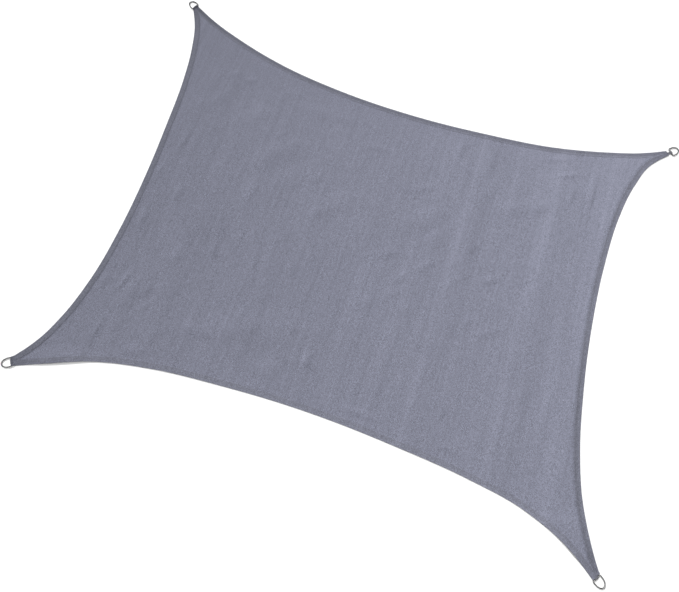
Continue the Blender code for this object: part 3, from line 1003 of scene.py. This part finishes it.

# Six broad bands along Y, partly streaks of the knit and partly painted light and shade on the lit
# and shaded sides of the folds there: their middle on X, half width, and how much lighter or darker
# they are, in percent. The other streaks are noise.
STREAKS_AND_FOLD_SHADE = (
    (0.34, 0.05, 5.0),
    (0.60, 0.06, 5.0),
    (0.73, 0.07, -5.0),
    (1.18, 0.08, 6.0),
    (1.33, 0.07, -5.0),
    (1.57, 0.10, 6.0),
)

# Noise in the knit's tone, from grain through three widths of streak to mottling: scale, detail,
# roughness, stretch along Y, and how much lighter or darker it makes the cloth.
KNIT_NOISES = (
    (34.0, 4.0, 0.75, 0.5, 0.08),
    (60.0, 2.0, 0.5, 0.03, 0.09),
    (30.0, 2.0, 0.5, 0.025, 0.065),
    (14.0, 2.0, 0.5, 0.06, 0.065),
    (5.0, 3.0, 0.55, 0.45, 0.05),
)

# How much the loops show: its change for each metre of X and of Y, its value at the sail's middle,
# and its most.
LOOP_SLOPE = (0.105, -0.30, 1.03, 0.88)

# Painted light: the cloth's tone grows lighter across the sail, toward +X and a little toward +Y, in
# place of light falling more brightly on one side. Its change for each metre along X and along Y,
# and for each square metre of X times Y.
PAINTED_LIGHT_X = 0.076
PAINTED_LIGHT_Y = 0.027
PAINTED_LIGHT_TWIST = 0.017

# Puckers across the sewn lines, and how strong they are at shares of a reach in from the edge.
PUCKER_PITCH = 0.021
PUCKER_REACH = 0.1
PUCKER_STOPS = ((0.0, 0.25), (0.2, 0.5), (0.33, 1.0), (0.42, 0.6), (0.6, 0.0))


def streaks_and_fold_shade(look, x):
    """Placed streaks with painted fold light and shade, as one colour ramp from the sail's middle to
    past its right end.
    """
    ramp_end = 2.0
    stops = [(0.0, 0.5)]
    for middle, half_width, percent in STREAKS_AND_FOLD_SHADE:
        for at, tone in ((middle - half_width, 0.0), (middle, percent), (middle + half_width, 0.0)):
            stops.append((at / ramp_end, 0.5 + 0.005 * tone))
    along = look.math("DIVIDE", x, ramp_end)
    return look.math("MULTIPLY", look.ramp(along, stops, "EASE"), 2.0)


def knit_look(colours):
    """Knitted cloth: chevron loops in wales along Y, with streaks, a hem's tones, puckers and painted
    light and shade.
    """
    look = Look("knitted_shade_cloth")
    place, (x, y, _) = look.object_axes()
    edge_distance = look.attribute("edge_distance")
    edge_run = look.attribute("edge_run")
    edge_tone_and_shade = look.attribute("edge_tone_and_shade")

    # wales run along Y and wander a little; courses of loops cross them in chevrons
    wander = look.noise(place, 3.0, stretch=0.25)
    wales = look.fit(wander, WALE_WANDER, look.math("DIVIDE", x, WALE_PITCH))
    wale = look.math("FRACT", wales)
    from_middle = look.math("ABSOLUTE", look.fit(wale, 2.0, -1.0))
    course = look.fit(from_middle, 0.5, look.math("DIVIDE", y, COURSE_PITCH))
    loops = look.fit(look.math("COSINE", look.math("MULTIPLY", course, 2 * math.pi)), 0.5, 0.5)
    ridge = look.math("SUBTRACT", 1.0, look.math("POWER", from_middle, 2.5))
    knit = look.math("MULTIPLY", ridge, look.fit(loops, 0.45, 0.55))

    # tones: each loop its own, more so in patches; painted shade in the gaps between the wales;
    # streaks, partly painted fold shade; mottling; painted light lighter toward one side
    cell = {"X": look.math("FLOOR", wales), "Y": look.math("FLOOR", course)}
    cell = look.add("ShaderNodeCombineXYZ", cell).outputs[0]
    loop = look.add("ShaderNodeTexWhiteNoise", {"Vector": cell}, noise_dimensions="2D")
    patches = look.fit(look.noise(place, 11.0), 1.3, 0.35)
    by_x, by_y, middle, most = LOOP_SLOPE
    slope = look.fit(x, by_x, look.fit(y, by_y, middle))
    reach = look.product(patches, look.math("MINIMUM", slope, most), LOOP_CONTRAST)
    loop_tone = look.fit(look.math("SUBTRACT", loop.outputs["Value"], 0.5), reach, 1.0)
    # painted shade: the knit is darker in its low gaps between the wales than on its ridges
    gaps = look.fit(knit, 0.36, 0.80)
    layers = [look.around_one(look.noise(place, *noise), spread) for *noise, spread in KNIT_NOISES]
    # painted light: lighter toward +X and +Y, standing in for the light's fall across the sail
    painted_light = look.fit(x, PAINTED_LIGHT_X, look.fit(y, PAINTED_LIGHT_Y, 1.0))
    painted_light = look.fit(look.math("MULTIPLY", x, y), PAINTED_LIGHT_TWIST, painted_light)
    tone = look.product(gaps, loop_tone, *layers, painted_light, streaks_and_fold_shade(look, x))

    # hem: two layers look denser, and the mesh carries the hem's tones with painted shade at the rim,
    # along the sewn line and toward the corners, and painted shade at the cut ends
    in_hem = look.math("LESS_THAN", edge_distance, HEM_WIDTH)
    colour = look.mix(in_hem, rgba(colours.cloth), rgba(colours.hem))
    colour = look.scaled(colour, look.math("MULTIPLY", tone, edge_tone_and_shade))

    # relief: the knit, its loose yarn, and puckers across the sewn lines
    pucker = look.math("MULTIPLY", look.wave(edge_run, PUCKER_PITCH), look.noise(place, 22.0))
    near_seam = look.ramp(look.math("DIVIDE", edge_distance, PUCKER_REACH), PUCKER_STOPS)
    relief = look.bump(look.math("MULTIPLY", pucker, near_seam), 0.0010, 0.6)
    relief = look.bump(look.noise(place, 26.0, 3.0, 0.6, stretch=0.5), 0.0022, 0.35, relief)
    relief = look.bump(look.noise(place, 420.0, 2.0, 0.6), 0.0003, 0.4, relief)
    relief = look.bump(knit, 0.0007, 0.55, relief)

    look.shade(
        Base_Color=colour,
        Roughness=look.fit(knit, -0.10, 0.90),
        Sheen_Weight=0.12,
        Sheen_Roughness=0.45,
        Specular_IOR_Level=0.32,
        Normal=relief,
    )
    return look.material


RIB_PITCH = 0.0021
WARP_PITCH = 0.0026
SELVEDGE_WIDTH = 0.0028


def webbing_look(colours):
    """Flat woven webbing: twill ribs that lean both ways from the middle, and bound selvedges."""
    look = Look("woven_webbing")
    place, _ = look.object_axes()
    along, across = look.attribute("strap_along"), look.attribute("strap_across")
    from_middle = look.math("ABSOLUTE", across)
    slant = look.fit(from_middle, 0.55, along)
    rib, warp = look.wave(slant, RIB_PITCH), look.wave(across, WARP_PITCH)
    weave = look.fit(rib, 0.32, look.fit(warp, 0.18, 0.5))
    fuzz = look.noise(place, 700.0, 3.0, 0.6)
    wear = look.noise(place, 60.0, 3.0, 0.6)
    edge = look.math("LESS_THAN", look.attribute("strap_selvedge"), SELVEDGE_WIDTH)
    tone = look.product(
        look.fit(weave, 0.5, 0.75),
        look.around_one(fuzz, 0.18),
        look.around_one(wear, 0.16),
        look.fit(edge, -0.18, 1.0),
    )
    relief = look.bump(fuzz, 0.0002, 0.5)
    relief = look.bump(weave, 0.0005, 0.7, relief)
    look.shade(
        Base_Color=look.scaled(tuple(colours.webbing), tone),
        Roughness=look.fit(weave, -0.12, 0.84),
        Sheen_Weight=0.1,
        Specular_IOR_Level=0.35,
        Normal=relief,
    )
    return look.material


def thread_look(colours):
    """Bonded sewing thread: a twisted, slightly glossy strand."""
    look = Look("sewing_thread")
    place, _ = look.object_axes()
    twist = look.noise(place, 1500.0, 2.0, 0.6)
    patches = look.noise(place, 90.0, 2.0)
    tone = look.product(look.around_one(twist, 0.2), look.around_one(patches, 0.12))
    look.shade(
        Base_Color=look.scaled(tuple(colours.thread), tone),
        Roughness=look.fit(twist, 0.2, 0.5),
        Specular_IOR_Level=0.4,
        Normal=look.bump(twist, 0.0002, 0.5),
    )
    return look.material


def steel_look(colours):
    """Polished steel wire with fine drawing lines and dull spots."""
    look = Look("polished_steel")
    place, _ = look.object_axes()
    lines = look.noise(place, 900.0, 3.0, 0.6, stretch=0.2)
    dull = look.noise(place, 75.0, 4.0, 0.6)
    pits = look.noise(place, 2200.0, 1.0)
    tone = look.product(look.around_one(dull, 0.10), look.around_one(lines, 0.05))
    roughness = look.fit(dull, 0.16, look.fit(lines, 0.06, 0.08))
    relief = look.bump(pits, 0.00006, 0.35)
    relief = look.bump(lines, 0.00010, 0.35, relief)
    look.shade(
        Base_Color=look.scaled(tuple(colours.steel), tone),
        Metallic=1.0,
        Roughness=roughness,
        Normal=relief,
    )
    return look.material


def floor_look(colours):
    look = Look("studio_floor")
    look.shade(Base_Color=rgba(colours.floor), Roughness=0.9, Specular_IOR_Level=0.1)
    return look.material


def shared_look(make, name, colours):
    """A material that several operators share, made once."""
    return bpy.data.materials.get(name) or make(colours)


# ---- settings ----


def colour_setting(name, description, default):
    return FloatVectorProperty(
        name=name, description=description, default=default, subtype="COLOR", min=0.0, max=1.0
    )


def cells_setting(name, description, default, least, most):
    return IntProperty(name=name, description=description, default=default, min=least, max=most)


def length_setting(name, description, default, least, most):
    return FloatProperty(
        name=name, description=description, default=default, min=least, max=most, unit="LENGTH"
    )


class SailSizes(bpy.types.PropertyGroup):
    long_cells: cells_setting(
        "Long Cells", "Cells of the cloth's mesh along the long side, inside the hem", 200, 20, 220
    )
    short_cells: cells_setting(
        "Short Cells", "Cells of the cloth's mesh along the short side, inside the hem", 150, 15, 170
    )
    stitch_pitch: length_setting(
        "Hem Stitch Pitch", "Distance from one stitch of the hem to the next", 0.0048, 0.003, 0.02
    )
    strap_stitch_pitch: length_setting(
        "Strap Stitch Pitch", "Distance from one stitch of a strap to the next", 0.0038, 0.002, 0.02
    )
    thread_radius: length_setting(
        "Thread Radius", "Radius of the sewing thread", 0.00045, 0.0002, 0.002
    )


class SailColours(bpy.types.PropertyGroup):
    cloth: colour_setting("Cloth", "Colour of the knitted panel", (0.196, 0.203, 0.259))
    hem: colour_setting("Hem", "Colour of the doubled cloth along the edges", (0.196, 0.202, 0.253))
    webbing: colour_setting("Webbing", "Colour of the corner straps", (0.135, 0.137, 0.155))
    thread: colour_setting("Thread", "Colour of the sewing thread", (0.120, 0.122, 0.145))
    steel: colour_setting("Steel", "Colour of the rings", (0.38, 0.38, 0.38))
    floor: colour_setting("Floor", "Colour of the studio floor", (0.94, 0.94, 0.94))


class SailStage(bpy.types.PropertyGroup):
    floor_size: FloatProperty(
        name="Floor Size", description="Side of the square floor", default=80.0, min=8.0, unit="LENGTH"
    )
    key_strength: FloatProperty(
        name="Key Light",
        description="Strength of the soft key light from the back left",
        default=3.2,
        min=0.0,
    )
    key_spread: FloatProperty(
        name="Key Spread",
        description="Angle over which the key light is spread",
        default=math.radians(15.0),
        min=0.0,
        max=math.pi,
        unit="ROTATION",
    )
    sky_strength: FloatProperty(
        name="Sky Strength", description="Strength of the soft light from above", default=0.62, min=0.0
    )


# ---- operators ----


class SAIL_OT_cloth(bpy.types.Operator):
    """Build the knitted panel with its hem"""

    bl_idname = "sail.cloth"
    bl_label = "Knitted Cloth"

    def execute(self, context):
        scene = context.scene
        look = shared_look(knit_look, "knitted_shade_cloth", scene.sail_colours)
        mesh = build_cloth(scene.sail_sizes)
        cloth = new_piece("sail_knit", mesh, look, ("sail_cloth",))
        return {"FINISHED"}


class SAIL_OT_hem_stitching(bpy.types.Operator):
    """Sew two rows of stitches round the hem"""

    bl_idname = "sail.hem_stitching"
    bl_label = "Hem Stitching"

    def execute(self, context):
        scene = context.scene
        look = shared_look(thread_look, "sewing_thread", scene.sail_colours)
        new_piece("hem_stitching", build_hem_stitching(scene.sail_sizes), look)
        return {"FINISHED"}


class SAIL_OT_corner_webbing(bpy.types.Operator):
    """Fold a webbing strap round each ring's bar and sew it down"""

    bl_idname = "sail.corner_webbing"
    bl_label = "Corner Webbing"

    def execute(self, context):
        scene = context.scene
        look = shared_look(webbing_look, "woven_webbing", scene.sail_colours)
        for corner in CORNERS:
            name, replaced = "webbing_" + corner, ("corner_strap_" + corner,)
            strap = new_piece(name, build_webbing(corner), look, replaced)
        thread = shared_look(thread_look, "sewing_thread", scene.sail_colours)
        new_piece("strap_stitching", build_strap_stitching(scene.sail_sizes), thread)
        return {"FINISHED"}


class SAIL_OT_rings(bpy.types.Operator):
    """Make the four steel D-rings"""

    bl_idname = "sail.rings"
    bl_label = "D-Rings"

    def execute(self, context):
        look = shared_look(steel_look, "polished_steel", context.scene.sail_colours)
        for corner in CORNERS:
            name = "ring_" + corner
            new_piece(name, build_ring(corner), look, ("corner_ring_" + corner,))
        return {"FINISHED"}


class SAIL_OT_stage(bpy.types.Operator):
    """Lay the floor and set the light and the camera"""

    bl_idname = "sail.stage"
    bl_label = "Studio Stage"

    def execute(self, context):
        scene = context.scene
        settings = scene.sail_stage
        bm = bmesh.new()
        bmesh.ops.create_grid(bm, x_segments=8, y_segments=8, size=settings.floor_size / 2)
        mesh = bpy.data.meshes.new("floor")
        bm.to_mesh(mesh)
        bm.free()
        mesh.materials.append(floor_look(scene.sail_colours))
        linked("floor", mesh)
        self.add_key_light(settings)
        self.add_sky(scene, settings)
        self.add_camera(scene)
        scene.view_settings.view_transform = "Standard"
        return {"FINISHED"}

    def add_key_light(self, settings):
        light = bpy.data.lights.new("key_light", "SUN")
        light.angle = settings.key_spread
        light.energy = settings.key_strength
        key = linked("key_light", light)
        key.location = KEY_PLACE
        key.rotation_euler = (-key.location).to_track_quat("-Z", "Y").to_euler()
        key.visible_glossy = False

    def add_sky(self, scene, settings):
        """Sky that is dark at the horizon and bright overhead, which gives the steel its contrast."""
        world = bpy.data.worlds.new("studio_sky")
        world.use_nodes = True
        scene.world = world
        tree = world.node_tree
        background = tree.nodes["Background"]
        background.inputs["Strength"].default_value = settings.sky_strength
        place = tree.nodes.new("ShaderNodeTexCoord")
        axes = tree.nodes.new("ShaderNodeSeparateXYZ")
        ramp = tree.nodes.new("ShaderNodeValToRGB")
        fill_ramp(ramp.color_ramp, SKY_STOPS)
        rays = tree.nodes.new("ShaderNodeLightPath")
        mix = tree.nodes.new("ShaderNodeMix")
        mix.data_type = "RGBA"
        tree.links.new(place.outputs["Generated"], axes.inputs["Vector"])
        tree.links.new(axes.outputs["Z"], ramp.inputs["Fac"])
        tree.links.new(rays.outputs["Is Camera Ray"], mix.inputs["Factor"])
        tree.links.new(ramp.outputs["Color"], mix.inputs[6])
        mix.inputs[7].default_value = (SEEN_SKY, SEEN_SKY, SEEN_SKY, 1.0)
        tree.links.new(mix.outputs[2], background.inputs["Color"])

    def add_camera(self, scene):
        data = bpy.data.cameras.new("camera")
        data.lens = CAMERA_LENS
        camera = linked("camera", data)
        direction = Vector(CAMERA_AIM) - Vector(CAMERA_PLACE)
        turn = direction.to_track_quat("-Z", "Y").to_matrix()
        turn = turn @ Matrix.Rotation(math.radians(CAMERA_ROLL), 3, "Z")
        camera.matrix_world = Matrix.Translation(CAMERA_PLACE) @ turn.to_4x4()
        scene.camera = camera


class SAIL_PT_build(bpy.types.Panel):
    """Settings and steps of the shade sail"""

    bl_label = "Shade Sail"
    bl_idname = "SAIL_PT_build"
    bl_space_type = "VIEW_3D"
    bl_region_type = "UI"
    bl_category = "Shade Sail"

    def draw(self, context):
        scene = context.scene
        for settings in (scene.sail_sizes, scene.sail_colours, scene.sail_stage):
            box = self.layout.box()
            for name in settings.__annotations__:
                box.prop(settings, name)
        for operator in OPERATORS:
            self.layout.operator(operator.bl_idname)


SETTINGS = {"sail_sizes": SailSizes, "sail_colours": SailColours, "sail_stage": SailStage}
OPERATORS = (
    SAIL_OT_cloth,
    SAIL_OT_hem_stitching,
    SAIL_OT_corner_webbing,
    SAIL_OT_rings,
    SAIL_OT_stage,
)


def register():
    for name, settings in SETTINGS.items():
        bpy.utils.register_class(settings)
        setattr(bpy.types.Scene, name, PointerProperty(type=settings))
    for operator in OPERATORS:
        bpy.utils.register_class(operator)
    bpy.utils.register_class(SAIL_PT_build)


def unregister():
    bpy.utils.unregister_class(SAIL_PT_build)
    for operator in reversed(OPERATORS):
        bpy.utils.unregister_class(operator)
    for name, settings in reversed(list(SETTINGS.items())):
        delattr(bpy.types.Scene, name)
        bpy.utils.unregister_class(settings)


def main():
    register()
    bpy.ops.sail.cloth()
    bpy.ops.sail.hem_stitching()
    bpy.ops.sail.corner_webbing()
    bpy.ops.sail.rings()
    bpy.ops.sail.stage()


if __name__ == "__main__":
    main()
